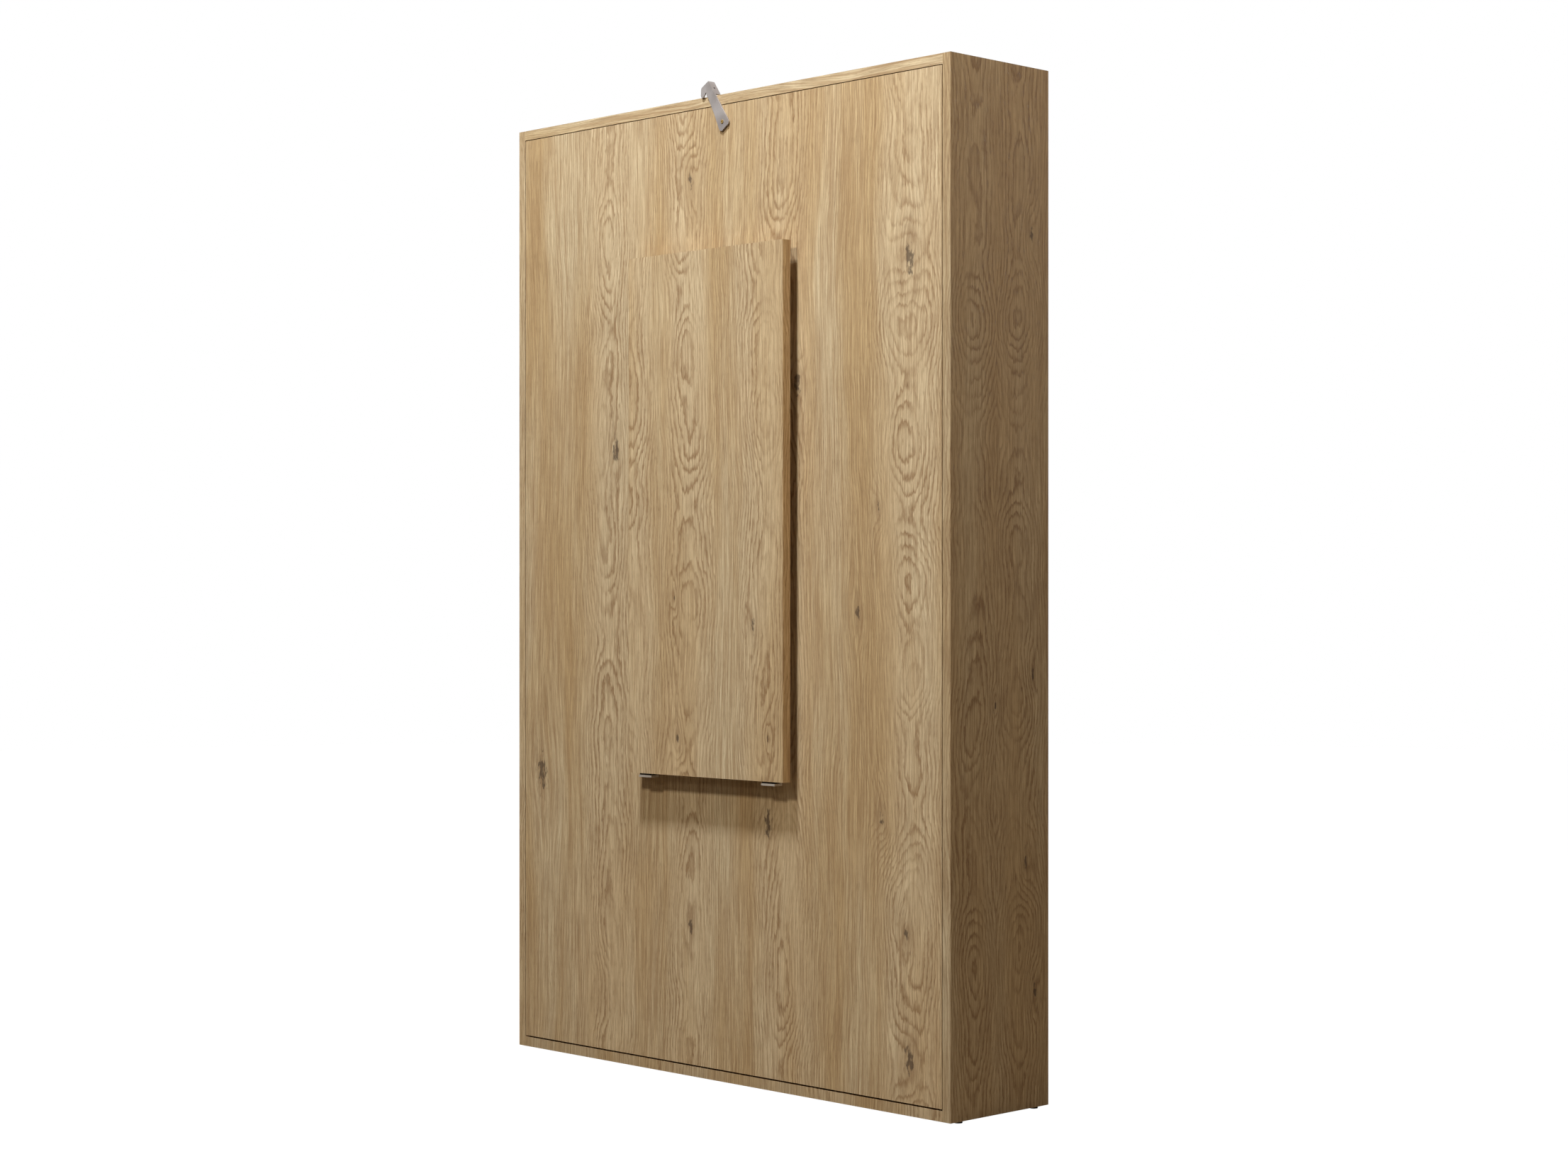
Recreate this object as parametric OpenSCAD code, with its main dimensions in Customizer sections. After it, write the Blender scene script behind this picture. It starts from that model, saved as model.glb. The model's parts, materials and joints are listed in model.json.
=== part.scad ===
// Vertical fold-down wall bed in an oak-faced cabinet, with a parallel-arm support leg
// on its front, two gas struts and a swinging hook latch.
// Origin: middle of the overall footprint, on the floor. +X right, +Y towards the wall, +Z up.
// The bed is drawn folded up into the cabinet. All sizes are in millimetres.

/* [Cabinet] */
// Outer width of the cabinet
cabinet_w = 1390; // [1380:5:1400]
// Outer height of the cabinet
cabinet_h = 2180; // [2180:5:2200]
// Outer depth of the cabinet
cabinet_d = 305; // [305:5:320]
// Thickness of every board
board_t = 22; // [21:0.5:22]
// Gap beside and above the inset front
reveal = 2; // [2:0.5:4]
// Gap under the inset front
reveal_bottom = 4; // [4:0.5:6]

/* [Bed] */
// Width of the mattress
mattress_w = 1200; // [1190:5:1200]
// Length of the mattress
mattress_l = 2000; // [1980:5:2000]
// Thickness of the mattress
mattress_t = 160; // [120:5:160]
// Height of the fold axis above the floor
pivot_z = 275; // [275:1:280]
// Distance of the fold axis behind the outer face of the front
pivot_depth = 36; // [35:0.5:37]
// Depth of the bed's side, head and foot rails
rail_d = 120; // [100:5:125]
// Number of slats
slat_count = 16; // [12:1:18]

/* [Support leg] */
// Width of the support panel
leg_w = 500; // [460:10:560]
// Height of the support panel
leg_h = 1160; // [1100:10:1160]
// Height of the panel's lower edge above the floor
leg_bottom = 676; // [660:1:690]
// Space between the front and the support panel
leg_gap = 20; // [20:0.5:22]

/* [Latch] */
// Lean of the latch towards the left when it is hooked, in degrees
latch_lean = 30; // [28:0.5:31]
// Pivot of the latch to the right of the centre line
latch_x = 20; // [10:1:30]
// Pivot of the latch below the top of the cabinet
latch_drop = 61; // [60.5:0.5:61.5]

/* [Hidden] */
$fn = 48;

oak = "#c9a877";
oak_edge = "#b8935f";
steel = "#a9a7a5";
zinc = "#c3c4c6";
black = "#2b2b2d";
beech = "#d8bd8f";
ticking = "#efece4";
webbing = "#55585c";

// Cabinet
half_w = cabinet_w / 2;
inner_x = half_w - board_t;
leg_proud = leg_gap + board_t;
back_y = (cabinet_d + leg_proud) / 2;
front_y = back_y - cabinet_d;
glide_h = 4;
glide_r = 9;
glide_inset = 35;
rear_rail_h = 110;
rear_rail_y = back_y - board_t;
ceiling_z = cabinet_h - board_t;
floor_z = glide_h + board_t;
wall_hole_r = 4.5;
wall_hole_x = 400;
cam_r = 7.5;
cam_h = 12;
cam_inset = 34;
fit = 0.05;
slack = 0.1;

// Screws, all the same: 4 x 16 countersunk
screw_r = 2;
screw_head_r = 4;
screw_head_h = 2;
screw_l = 16;

// Bed
pivot_y = front_y + pivot_depth;
front_x = inner_x - reveal;
front_z0 = floor_z + reveal_bottom;
front_z1 = ceiling_z - reveal;
frame_y = front_y + board_t;
rail_x = 635;
rail_inner_x = rail_x - board_t;
rail_z0 = 78;
rail_y = frame_y + rail_d;
mattress_z0 = rail_z0 + board_t + 6;
foot_z = mattress_z0 + mattress_l + 6;
rail_z1 = foot_z + board_t;
slat_w = 63;
slat_t = 8;
slat_y = frame_y + 40;
slat_end_x = rail_inner_x - 15;
slat_z0 = mattress_z0 + 45;
slat_pitch = (mattress_l - 90) / (slat_count - 1);
holder_in = 35;
holder_wall = 4;
holder_floor = 3;
mattress_y = slat_y + slat_t + holder_floor + 0.3;
mattress_skin = 10;
strap_w = 45;
strap_t = 2;
strap_rise = 5;
strap_z = [600, 1650];
cross_z = [760, 1440];
cross_d = 36;
angle_z = [330, 860, 1390, 1900];

// Fold pivots
pin_r = 6;
pin_end = 0.6;
plate_t = 5;
bracket_t = 4;
bush_r = 8;
bush_l = 8;
plate_screws = [for (dy = [-18, 44], dz = [-58, 58]) [pivot_y + dy, pivot_z + dz]];
bracket_screws = [for (dy = [30, 62], dz = [-40, 10, 75]) [pivot_y + dy, pivot_z + dz]];

// Gas struts: the anchor is on the cabinet, the stud is on the bed
strut_x = 654;
anchor_y = pivot_y + 150;
anchor_z = pivot_z + 430;
stud_y = pivot_y + 60;
stud_z = pivot_z - 160;
strut_run = [stud_y - anchor_y, stud_z - anchor_z];
strut_l = norm(strut_run);
strut_turn = atan2(-strut_run[0], strut_run[1]);
eye_r = 9;
eye_t = 10;
stud_r = 4;
tube_r = 10;
tube_bore = 8;
tube_z0 = 20;
tube_z1 = 290;
piston_z = 256;
anchor_t = 3;
anchor_screws = [for (dy = [-18, 18], dz = [-26, 26]) [anchor_y + dy, anchor_z + dz]];
stud_screws = [for (dy = [-16, 16], dz = [-16, 16]) [stud_y + dy, stud_z + dz]];

// Support leg: every arm pivot lies in the middle of the space behind the panel
arm_y = front_y - leg_gap / 2;
arm_l = pivot_z - pivot_depth - leg_gap - board_t;
arm_w = 31;
arm_t = 6;
arm_x = 199;
barrel_r = 7;
lug_r = 8;
lug_t = 5;
lug_x = arm_w / 2 + 0.5;
clevis_w = 2 * (lug_x + lug_t);
leg_pin_r = 4;
leg_pivot_rise = 16;
leg_pivot_span = 891;
leg_pivot_low = leg_bottom + leg_pivot_rise;
leg_pivot_high = leg_pivot_low + leg_pivot_span;
leg_y = front_y - leg_gap;
leg_face = leg_y - board_t;
foot_t = 5;
foot_drop = 4;
foot_setback = 4.5;
clevis_screw_z = [24, 42];
wing_w = 14;
wing_z = 44;

// Latch, drawn upright with its pivot at the origin
latch_t = 3;
latch_off = 1.5;
latch_z = cabinet_h - latch_drop;
flange_d = 18.5;
flange_u0 = 68;
flange_u1 = 105;
flange_hole_u = 86;
latch_edge = [[17, -5], [8, 105]];
catch_y = front_y + 4.5;

latch_edge_slope = (latch_edge[1][0] - latch_edge[0][0]) / (latch_edge[1][1] - latch_edge[0][1]);

// Place across the latch of its right edge, at distance u along it
function edge_v(u) = latch_edge[0][0] + latch_edge_slope * (u - latch_edge[0][1]);

// ---- shared shapes ----

module block(low, high) {
    translate(low)
        cube(high - low);
}

// A cylinder along +X from x0 to x1
module rod_x(x0, x1, y, z, r) {
    translate([x0, y, z])
        rotate([0, 90, 0])
            cylinder(h = x1 - x0, r = r);
}

module on_left() {
    mirror([1, 0, 0])
        children();
}

module on_both() {
    children();
    on_left()
        children();
}

// Head flush with z = 0, shank along +Z
module screw() {
    difference() {
        union() {
            cylinder(h = screw_head_h, r1 = screw_head_r, r2 = screw_r);
            cylinder(h = screw_l, r = screw_r);
        }
        translate([0, 0, -1])
            cylinder(h = 2.4, r = 1.3, $fn = 6);
    }
}

module screw_bore() {
    translate([0, 0, -0.01])
        cylinder(h = screw_head_h + slack, r1 = screw_head_r + slack, r2 = screw_r + slack);
    cylinder(h = screw_l + 0.5, r = screw_r + slack);
}

// Children point along +X from the plane x, at each [y, z]
module face_right(spots, x) {
    for (s = spots)
        translate([x, s[0], s[1]])
            rotate([0, 90, 0])
                children();
}

// Children point along -X from the plane x, at each [y, z]
module face_left(spots, x) {
    for (s = spots)
        translate([x, s[0], s[1]])
            rotate([0, -90, 0])
                children();
}

// Children point along +Y from the plane y, at each [x, z]
module face_back(spots, y) {
    for (s = spots)
        translate([s[0], y, s[1]])
            rotate([-90, 0, 0])
                children();
}

// Children point along -Y from the plane y, at each [x, z]
module face_front(spots, y) {
    for (s = spots)
        translate([s[0], y, s[1]])
            rotate([90, 0, 0])
                children();
}

// ---- cabinet ----

module side_panel() {
    difference() {
        block([inner_x, front_y, glide_h], [half_w, back_y, cabinet_h]);
        block([inner_x - 1, pivot_y - 28 - slack, pivot_z - 70 - slack],
              [inner_x + plate_t + slack, pivot_y + 54 + slack, pivot_z + 70 + slack]);
        face_right(plate_screws, inner_x)
            screw_bore();
        face_right(anchor_screws, inner_x - anchor_t)
            screw_bore();
    }
}

module side_panel_right() {
    color(oak)
        side_panel();
}

module side_panel_left() {
    color(oak)
        on_left()
            side_panel();
}

// Centres of the cam locks in the top and bottom panels, as [x, y]
panel_cams = [for (sx = [-1, 1], y = [front_y + 60, back_y - 70]) [sx * (inner_x - cam_inset), y]];
// Centres of the cam locks in the back of the rear rails, as [x, z]
rail_cams = [for (sx = [-1, 1], z = [-28, 28]) [sx * (inner_x - cam_inset), z]];

module cam_bore() {
    translate([0, 0, -0.01])
        cylinder(h = cam_h + slack, r = cam_r + slack);
}

module cam_lock() {
    difference() {
        cylinder(h = cam_h, r = cam_r);
        translate([-5, -0.8, -1])
            cube([10, 1.6, 3]);
        translate([-0.8, -5, -1])
            cube([1.6, 10, 3]);
    }
}

module top_panel() {
    color(oak)
        difference() {
            block([-inner_x, front_y, ceiling_z], [inner_x, back_y, cabinet_h]);
            for (c = panel_cams)
                translate([c[0], c[1], ceiling_z])
                    cam_bore();
            catch_screw_spots()
                screw_bore();
        }
}

module bottom_panel() {
    color(oak)
        difference() {
            block([-inner_x, front_y, glide_h], [inner_x, back_y, floor_z]);
            for (c = panel_cams)
                translate([c[0], c[1], floor_z])
                    mirror([0, 0, 1])
                        cam_bore();
        }
}

rail_middle_share = 0.52;
rail_top_z = ceiling_z - rear_rail_h / 2;
rail_middle_z = cabinet_h * rail_middle_share;
rail_bottom_z = floor_z + rear_rail_h / 2;

// A rear rail centred on height z, with two holes for the wall screws
module rear_rail(z) {
    difference() {
        block([-inner_x, rear_rail_y, z - rear_rail_h / 2], [inner_x, back_y, z + rear_rail_h / 2]);
        face_front([for (c = rail_cams) [c[0], z + c[1]]], back_y)
            cam_bore();
        for (x = [-wall_hole_x, wall_hole_x])
            translate([x, rear_rail_y - 1, z])
                rotate([-90, 0, 0])
                    cylinder(h = board_t + 2, r = wall_hole_r);
    }
}

module rear_rail_top() {
    color(oak)
        rear_rail(rail_top_z);
}

module rear_rail_middle() {
    color(oak)
        rear_rail(rail_middle_z);
}

module rear_rail_bottom() {
    color(oak)
        rear_rail(rail_bottom_z);
}

module cam_locks() {
    color(zinc) {
        for (c = panel_cams) {
            translate([c[0], c[1], ceiling_z])
                cam_lock();
            translate([c[0], c[1], floor_z])
                mirror([0, 0, 1])
                    cam_lock();
        }
        for (z = [rail_top_z, rail_middle_z, rail_bottom_z])
            face_front([for (c = rail_cams) [c[0], z + c[1]]], back_y)
                cam_lock();
    }
}

glide_x = half_w - board_t / 2;
glide_y = [front_y + glide_inset, back_y - glide_inset];

module floor_glides() {
    color(black)
        for (x = [-glide_x, 0, glide_x], y = glide_y)
            translate([x, y, 0])
                cylinder(h = glide_h, r = glide_r);
}

module pivot_plate() {
    difference() {
        block([inner_x, pivot_y - 28, pivot_z - 70],
              [inner_x + plate_t, pivot_y + 54, pivot_z + 70]);
        rod_x(inner_x - 1, inner_x + plate_t + 1, pivot_y, pivot_z, pin_r + fit);
        face_right(plate_screws, inner_x)
            screw_bore();
    }
}

module pivot_plate_right() {
    color(zinc)
        pivot_plate();
}

module pivot_plate_left() {
    color(zinc)
        on_left()
            pivot_plate();
}

// Fold axis pins, from the plates towards the bed, each with a shoulder against its plate
module pivot_pins() {
    color(steel)
        on_both() {
            rod_x(rail_x + pin_end, inner_x + plate_t, pivot_y, pivot_z, pin_r);
            rod_x(inner_x - 2.5, inner_x, pivot_y, pivot_z, pin_r + 4);
        }
}

module strut_anchor() {
    difference() {
        block([inner_x - anchor_t, anchor_y - 28, anchor_z - 36],
              [inner_x, anchor_y + 28, anchor_z + 36]);
        face_right(anchor_screws, inner_x - anchor_t)
            screw_bore();
    }
    rod_x(strut_x + eye_t / 2 + 0.5, inner_x - anchor_t, anchor_y, anchor_z, stud_r + 2);
    rod_x(strut_x - eye_t / 2 - 2, inner_x - anchor_t, anchor_y, anchor_z, stud_r);
    rod_x(strut_x - eye_t / 2 - 2.5, strut_x - eye_t / 2 - 1, anchor_y, anchor_z, stud_r + 2);
}

module strut_anchor_right() {
    color(zinc)
        strut_anchor();
}

module strut_anchor_left() {
    color(zinc)
        on_left()
            strut_anchor();
}

stop_z = [1300, 2020];

module stop_blocks() {
    color(oak_edge)
        on_both()
            for (z = stop_z)
                block([inner_x - 20, frame_y + 4, z - 25], [inner_x, frame_y + 34, z + 25]);
}

module bump_stops() {
    color(black)
        on_both()
            for (z = stop_z)
                translate([inner_x - 10, frame_y + 0.3, z])
                    rotate([-90, 0, 0])
                        cylinder(h = 3.7, r = 6);
}

// Latch frame: local X across the strap, local Z along it, seen from the front
module latch_frame(y) {
    translate([latch_x, y, latch_z])
        rotate([0, -latch_lean, 0])
            children();
}

catch_v0 = -7;
catch_v1 = edge_v(flange_hole_u) - latch_t - 0.5;
catch_post_x = latch_x + catch_v0 * cos(latch_lean) - flange_hole_u * sin(latch_lean);
catch_post_z = latch_z + catch_v0 * sin(latch_lean) + flange_hole_u * cos(latch_lean);

module catch_screw_spots() {
    for (x = [-14, 14])
        translate([catch_post_x + x, front_y + 30, cabinet_h + 2])
            rotate([180, 0, 0])
                children();
}

// Bracket on the top panel, with the peg that the latch's flange drops over
module catch_bracket() {
    color(zinc) {
        difference() {
            union() {
                block([catch_post_x - 24, front_y + 18, cabinet_h],
                      [catch_post_x + 24, front_y + 42, cabinet_h + 2]);
                block([catch_post_x - 3.5, catch_y - 3, cabinet_h],
                      [catch_post_x + 3.5, front_y + 20, cabinet_h + 2]);
                block([catch_post_x - 3.5, catch_y - 3, cabinet_h],
                      [catch_post_x + 3.5, catch_y + 3, catch_post_z + 3.5]);
            }
            catch_screw_spots()
                screw_bore();
        }
        latch_frame(catch_y)
            translate([catch_v0, 0, flange_hole_u])
                rotate([0, 90, 0])
                    cylinder(h = catch_v1 - catch_v0, r = 2);
    }
}

module cabinet_screws() {
    color(steel) {
        on_both() {
            face_right(plate_screws, inner_x)
                screw();
            face_right(anchor_screws, inner_x - anchor_t)
                screw();
        }
        catch_screw_spots()
            screw();
    }
}

// ---- bed ----

// Screw spots on the outer face of the front, as [x, z]
clevis_screws = [
    for (x = [-arm_x, arm_x], pz = [leg_pivot_low, leg_pivot_high], dz = clevis_screw_z)
        [x, pz + arm_l + dz]
];
// Screw spots on the inner face of the front, as [x, z]
angle_front_screws = [for (sx = [-1, 1], z = angle_z) [sx * (rail_inner_x - 20), z]];
// Screw spots on the inner face of the right rail, as [y, z]
angle_rail_screws = [for (z = angle_z) [frame_y + 20, z]];

module front_panel() {
    color(oak)
        difference() {
            block([-front_x, front_y, front_z0], [front_x, frame_y, front_z1]);
            face_back(clevis_screws, front_y - 3)
                screw_bore();
            face_front(angle_front_screws, frame_y + 2.5)
                screw_bore();
            face_back([[latch_x, latch_z]], front_y - 1)
                cylinder(h = 15.5, r = 3 + slack);
        }
}

module side_rail() {
    difference() {
        block([rail_inner_x, frame_y, rail_z0], [rail_x, rail_y, rail_z1]);
        face_left(bracket_screws, rail_x + bracket_t)
            screw_bore();
        face_left(stud_screws, rail_x + anchor_t)
            screw_bore();
        face_right(angle_rail_screws, rail_inner_x - 2.5)
            screw_bore();
    }
}

module side_rail_right() {
    color(oak_edge)
        side_rail();
}

module side_rail_left() {
    color(oak_edge)
        on_left()
            side_rail();
}

module head_rail() {
    color(oak_edge)
        block([-rail_inner_x, frame_y, rail_z0], [rail_inner_x, rail_y, rail_z0 + board_t]);
}

module foot_rail() {
    color(oak_edge)
        block([-rail_inner_x, frame_y, foot_z], [rail_inner_x, rail_y, rail_z1]);
}

module cross_rails() {
    color(oak_edge)
        for (z = cross_z)
            block([-rail_inner_x, frame_y, z], [rail_inner_x, frame_y + cross_d, z + board_t]);
}

module slats() {
    color(beech)
        for (i = [0 : slat_count - 1])
            let (z = slat_z0 + i * slat_pitch)
                block([-slat_end_x, slat_y, z - slat_w / 2],
                      [slat_end_x, slat_y + slat_t, z + slat_w / 2]);
}

module slat_holder(z) {
    difference() {
        block([rail_inner_x - holder_in, slat_y - holder_wall, z - slat_w / 2 - holder_wall],
              [rail_inner_x, slat_y + slat_t + holder_floor, z + slat_w / 2 + holder_wall]);
        block([rail_inner_x - holder_in - 1, slat_y - slack, z - slat_w / 2 - slack],
              [slat_end_x + slack, slat_y + slat_t + slack, z + slat_w / 2 + slack]);
    }
}

module slat_holders() {
    color(black)
        on_both()
            for (i = [0 : slat_count - 1])
                slat_holder(slat_z0 + i * slat_pitch);
}

// The foam core is left out, so that the shell alone weighs what the mattress does
module mattress() {
    color(ticking)
        difference() {
            block([-mattress_w / 2, mattress_y, mattress_z0],
                  [mattress_w / 2, mattress_y + mattress_t, mattress_z0 + mattress_l]);
            block([-mattress_w / 2 + mattress_skin, mattress_y + mattress_skin,
                   mattress_z0 + mattress_skin],
                  [mattress_w / 2 - mattress_skin, mattress_y + mattress_t - mattress_skin,
                   mattress_z0 + mattress_l - mattress_skin]);
        }
}

strap_top = mattress_y + mattress_t + strap_rise + strap_t;
strap_x = rail_inner_x - 0.3;

// Webbing over the mattress, with its ends down the inside of the rails
module mattress_straps() {
    color(webbing)
        for (z = strap_z)
            difference() {
                block([-strap_x, rail_y - 50, z - strap_w / 2],
                      [strap_x, strap_top, z + strap_w / 2]);
                block([-strap_x + strap_t, rail_y - 60, z - strap_w / 2 - 1],
                      [strap_x - strap_t, strap_top - strap_t, z + strap_w / 2 + 1]);
            }
}

module strap_buckles() {
    color(black)
        for (z = strap_z)
            difference() {
                block([-32, strap_top, z - strap_w / 2 - 6], [32, strap_top + 7, z + strap_w / 2 + 6]);
                for (x = [-20, 12])
                    block([x, strap_top - 1, z - strap_w / 2], [x + 8, strap_top + 8, z + strap_w / 2]);
            }
}

module pivot_bracket() {
    difference() {
        block([rail_x, pivot_y - 12.5, pivot_z - 62],
              [rail_x + bracket_t, pivot_y + 76, pivot_z + 95]);
        rod_x(rail_x - 1, rail_x + bracket_t + 1, pivot_y, pivot_z, bush_r + fit);
        face_left(bracket_screws, rail_x + bracket_t)
            screw_bore();
    }
}

module pivot_bracket_right() {
    color(zinc)
        pivot_bracket();
}

module pivot_bracket_left() {
    color(zinc)
        on_left()
            pivot_bracket();
}

module pivot_bushes() {
    color(black)
        on_both()
            difference() {
                union() {
                    rod_x(rail_x + 0.2, rail_x + bush_l + 3, pivot_y, pivot_z, bush_r);
                    rod_x(rail_x + bracket_t, rail_x + bracket_t + 2, pivot_y, pivot_z, bush_r + 3);
                }
                rod_x(rail_x - 1, rail_x + bush_l + 4, pivot_y, pivot_z, pin_r + fit);
            }
}

module strut_stud() {
    difference() {
        block([rail_x, stud_y - 26, stud_z - 26], [rail_x + anchor_t, stud_y + 26, stud_z + 26]);
        face_left(stud_screws, rail_x + anchor_t)
            screw_bore();
    }
    rod_x(rail_x + anchor_t, rail_x + anchor_t + 4, stud_y, stud_z, stud_r + 4);
    rod_x(rail_x + anchor_t, strut_x - eye_t / 2 - 0.5, stud_y, stud_z, stud_r + 1);
}

module strut_stud_right() {
    color(zinc)
        strut_stud();
}

module strut_stud_left() {
    color(zinc)
        on_left()
            strut_stud();
}

// Steel angles that hold the front to the side rails
module front_angles() {
    color(zinc)
        on_both()
            difference() {
                for (z = angle_z)
                    difference() {
                        block([rail_inner_x - 34, frame_y, z - 20],
                              [rail_inner_x, frame_y + 32, z + 20]);
                        block([rail_inner_x - 35, frame_y + 2.5, z - 21],
                              [rail_inner_x - 2.5, frame_y + 33, z + 21]);
                    }
                face_front([for (z = angle_z) [rail_inner_x - 20, z]], frame_y + 2.5)
                    screw_bore();
                face_right(angle_rail_screws, rail_inner_x - 2.5)
                    screw_bore();
            }
}

// Side view of one lug: u is the distance from the board, w the height above the pivot
module lug_profile() {
    translate([leg_gap / 2, 0])
        circle(r = lug_r);
    polygon([
        [0, 14], [2, 0], [leg_gap / 2 + lug_r, 0],
        [leg_gap / 2 + lug_r - 1, 5], [6, 50], [0, 50]
    ]);
}

// Clevis on a board whose face is y = 0, opening towards -Y, with its base above the pivot
module clevis() {
    difference() {
        union() {
            block([-lug_x, -3, 14], [lug_x, 0, 50]);
            for (x = [-lug_x - lug_t, lug_x])
                translate([x, 0, 0])
                    rotate([90, 0, 90])
                        linear_extrude(height = lug_t)
                            mirror([1, 0])
                                lug_profile();
        }
        rod_x(-clevis_w, clevis_w, -leg_gap / 2, 0, leg_pin_r + fit);
        face_back([for (dz = clevis_screw_z) [0, dz]], -3)
            screw_bore();
    }
}

module clevis_pin() {
    rod_x(-lug_x - lug_t - 1, lug_x + lug_t + 1, 0, 0, leg_pin_r);
    rod_x(lug_x + lug_t + 0.3, lug_x + lug_t + 2, 0, 0, leg_pin_r + 2.5);
    rod_x(-lug_x - lug_t - 2, -lug_x - lug_t - 0.3, 0, 0, leg_pin_r + 2.5);
}

module front_clevises() {
    color(zinc)
        for (x = [-arm_x, arm_x], z = [leg_pivot_low, leg_pivot_high])
            translate([x, front_y, z + arm_l])
                clevis();
}

module front_clevis_pins() {
    color(steel)
        for (x = [-arm_x, arm_x], z = [leg_pivot_low, leg_pivot_high])
            translate([x, arm_y, z + arm_l])
                clevis_pin();
}

module bed_screws() {
    color(steel) {
        on_both() {
            face_left(bracket_screws, rail_x + bracket_t)
                screw();
            face_left(stud_screws, rail_x + anchor_t)
                screw();
            face_right(angle_rail_screws, rail_inner_x - 2.5)
                screw();
        }
        face_front(angle_front_screws, frame_y + 2.5)
            screw();
        face_back(clevis_screws, front_y - 3)
            screw();
    }
}

module latch_screw() {
    color("#6b5b47")
        face_back([[latch_x, latch_z]], front_y - latch_off - latch_t - 1.2)
            difference() {
                union() {
                    cylinder(h = 1.1, r = 4);
                    cylinder(h = 19, r = 3);
                }
                translate([0, 0, -1])
                    cylinder(h = 2.5, r = 1.6, $fn = 6);
            }
}

module latch_washer() {
    color(zinc)
        face_back([[latch_x, latch_z]], front_y - latch_off + slack)
            difference() {
                cylinder(h = latch_off - slack, r = 8);
                translate([0, 0, -1])
                    cylinder(h = latch_off + 2, r = 3 + slack);
            }
}

// ---- support leg ----

// Flat arm between two barrels: from the panel's pivot at z to the front's pivot above it
module arm(x, z, low_clear) {
    difference() {
        union() {
            for (h = [z, z + arm_l])
                rod_x(x - arm_w / 2, x + arm_w / 2, arm_y, h, barrel_r);
            block([x - arm_w / 2, arm_y - arm_t / 2, z], [x + arm_w / 2, arm_y + arm_t / 2, z + arm_l]);
        }
        rod_x(x - arm_w, x + arm_w, arm_y, z, leg_pin_r + low_clear);
        rod_x(x - arm_w, x + arm_w, arm_y, z + arm_l, leg_pin_r + fit);
    }
}

module arm_lower_left() {
    color(steel)
        arm(-arm_x, leg_pivot_low, fit);
}

module arm_lower_right() {
    color(steel)
        arm(arm_x, leg_pivot_low, fit);
}

// The upper arms have the looser holes on the panel's pins
module arm_upper_left() {
    color(steel)
        arm(-arm_x, leg_pivot_high, 0.3);
}

module arm_upper_right() {
    color(steel)
        arm(arm_x, leg_pivot_high, 0.3);
}

// Screw spots on the inner face of the support panel, as [x, z]
leg_clevis_screws = [for (x = [-arm_x, arm_x], dz = clevis_screw_z) [x, leg_pivot_high - dz]];
wing_x = (clevis_w + wing_w) / 2;
wing_screw_z = leg_pivot_low + wing_z - 10;
wing_screws = [for (x = [-arm_x, arm_x], sx = [-1, 1]) [x + sx * wing_x, wing_screw_z]];

module leg_panel() {
    color(oak)
        difference() {
            block([-leg_w / 2, leg_face, leg_bottom], [leg_w / 2, leg_y, leg_bottom + leg_h]);
            face_front(concat(leg_clevis_screws, wing_screws), leg_y + 3)
                screw_bore();
        }
}

// Bracket that carries a lower pivot and wraps under the panel's bottom edge
module foot_bracket(x) {
    foot_z0 = leg_bottom - foot_drop - foot_t;
    half = clevis_w / 2;
    translate([x, 0, 0])
        difference() {
            union() {
                block([-half, leg_face + foot_setback, foot_z0],
                      [half, leg_y + 5, foot_z0 + foot_t]);
                block([-half, leg_y, foot_z0], [half, leg_y + 3, leg_pivot_low - 8]);
                for (side = [-1, 1])
                    block([side * wing_x - wing_w / 2 - 1, leg_y, leg_pivot_low - 14],
                          [side * wing_x + wing_w / 2 + 1, leg_y + 3, leg_pivot_low + wing_z]);
                for (sx = [-lug_x - lug_t, lug_x])
                    translate([sx, 0, leg_pivot_low]) {
                        rod_x(0, lug_t, arm_y, 0, lug_r);
                        block([0, leg_y, -14], [lug_t, arm_y + lug_r - 2, 0]);
                        block([0, leg_y, -14], [lug_t, leg_y + 6, 30]);
                    }
            }
            rod_x(-clevis_w, clevis_w, arm_y, leg_pivot_low, leg_pin_r + fit);
            face_front([for (side = [-1, 1]) [side * wing_x, wing_screw_z]], leg_y + 3)
                screw_bore();
        }
}

module foot_bracket_left() {
    color(steel)
        foot_bracket(-arm_x);
}

module foot_bracket_right() {
    color(steel)
        foot_bracket(arm_x);
}

module foot_pads() {
    color(black)
        for (x = [-arm_x, arm_x])
            block([x - clevis_w / 2 + 1, leg_face + foot_setback + 2, leg_bottom - foot_drop],
                  [x + clevis_w / 2 - 1, leg_y - 0.5, leg_bottom]);
}

module leg_clevises() {
    color(zinc)
        for (x = [-arm_x, arm_x])
            translate([x, leg_y, leg_pivot_high])
                rotate([180, 0, 0])
                    clevis();
}

module leg_pins() {
    color(steel)
        for (x = [-arm_x, arm_x], z = [leg_pivot_low, leg_pivot_high])
            translate([x, arm_y, z])
                clevis_pin();
}

module leg_screws() {
    color(steel)
        face_front(concat(leg_clevis_screws, wing_screws), leg_y + 3)
            screw();
}

// ---- gas struts, drawn from the anchor along +Z towards the stud ----

module strut_frame() {
    translate([strut_x, anchor_y, anchor_z])
        rotate([strut_turn, 0, 0])
            children();
}

module strut_cylinder() {
    strut_frame()
        difference() {
            translate([0, 0, tube_z0])
                cylinder(h = tube_z1 - tube_z0, r = tube_r);
            translate([0, 0, tube_z0 + 6])
                cylinder(h = tube_z1 - tube_z0 - 16, r = tube_bore);
            translate([0, 0, tube_z1 - 12])
                cylinder(h = 20, r = stud_r + fit);
        }
}

module strut_cylinder_right() {
    color(black)
        strut_cylinder();
}

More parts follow.
